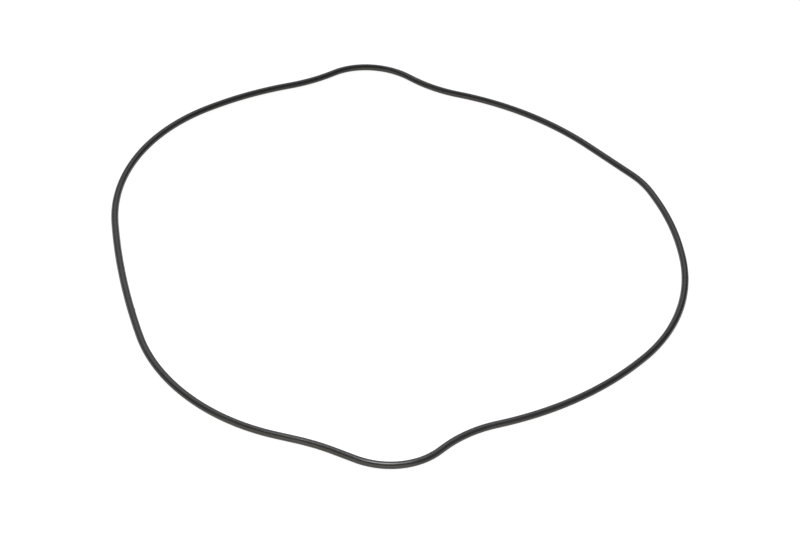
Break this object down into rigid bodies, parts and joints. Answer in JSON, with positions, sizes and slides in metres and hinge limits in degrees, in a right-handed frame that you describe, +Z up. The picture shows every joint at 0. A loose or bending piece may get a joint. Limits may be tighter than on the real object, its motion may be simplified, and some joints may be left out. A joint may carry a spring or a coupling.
{
  "type": "clutch cover gasket",
  "caption": "Moulded rubber gasket for a clutch cover: a closed loop of thin round cord that follows the cover's joint, with a nose at each end.",
  "frame": {"origin": "middle of the loop's outline, on the surface that the gasket lies on", "axes": "+Z up, square to the flat loop; +Y from the front nose to the rear nose; +X to the right, with the long flat run of the loop on the left"},
  "size_m": [0.1684, 0.1772, 0.002],
  "materials": {
    "black_rubber": "moulded black rubber, smooth with a soft sheen"
  },
  "bodies": {
    "root": {"clutch_cover_gasket": "black_rubber"}
  },
  "joints": []
}
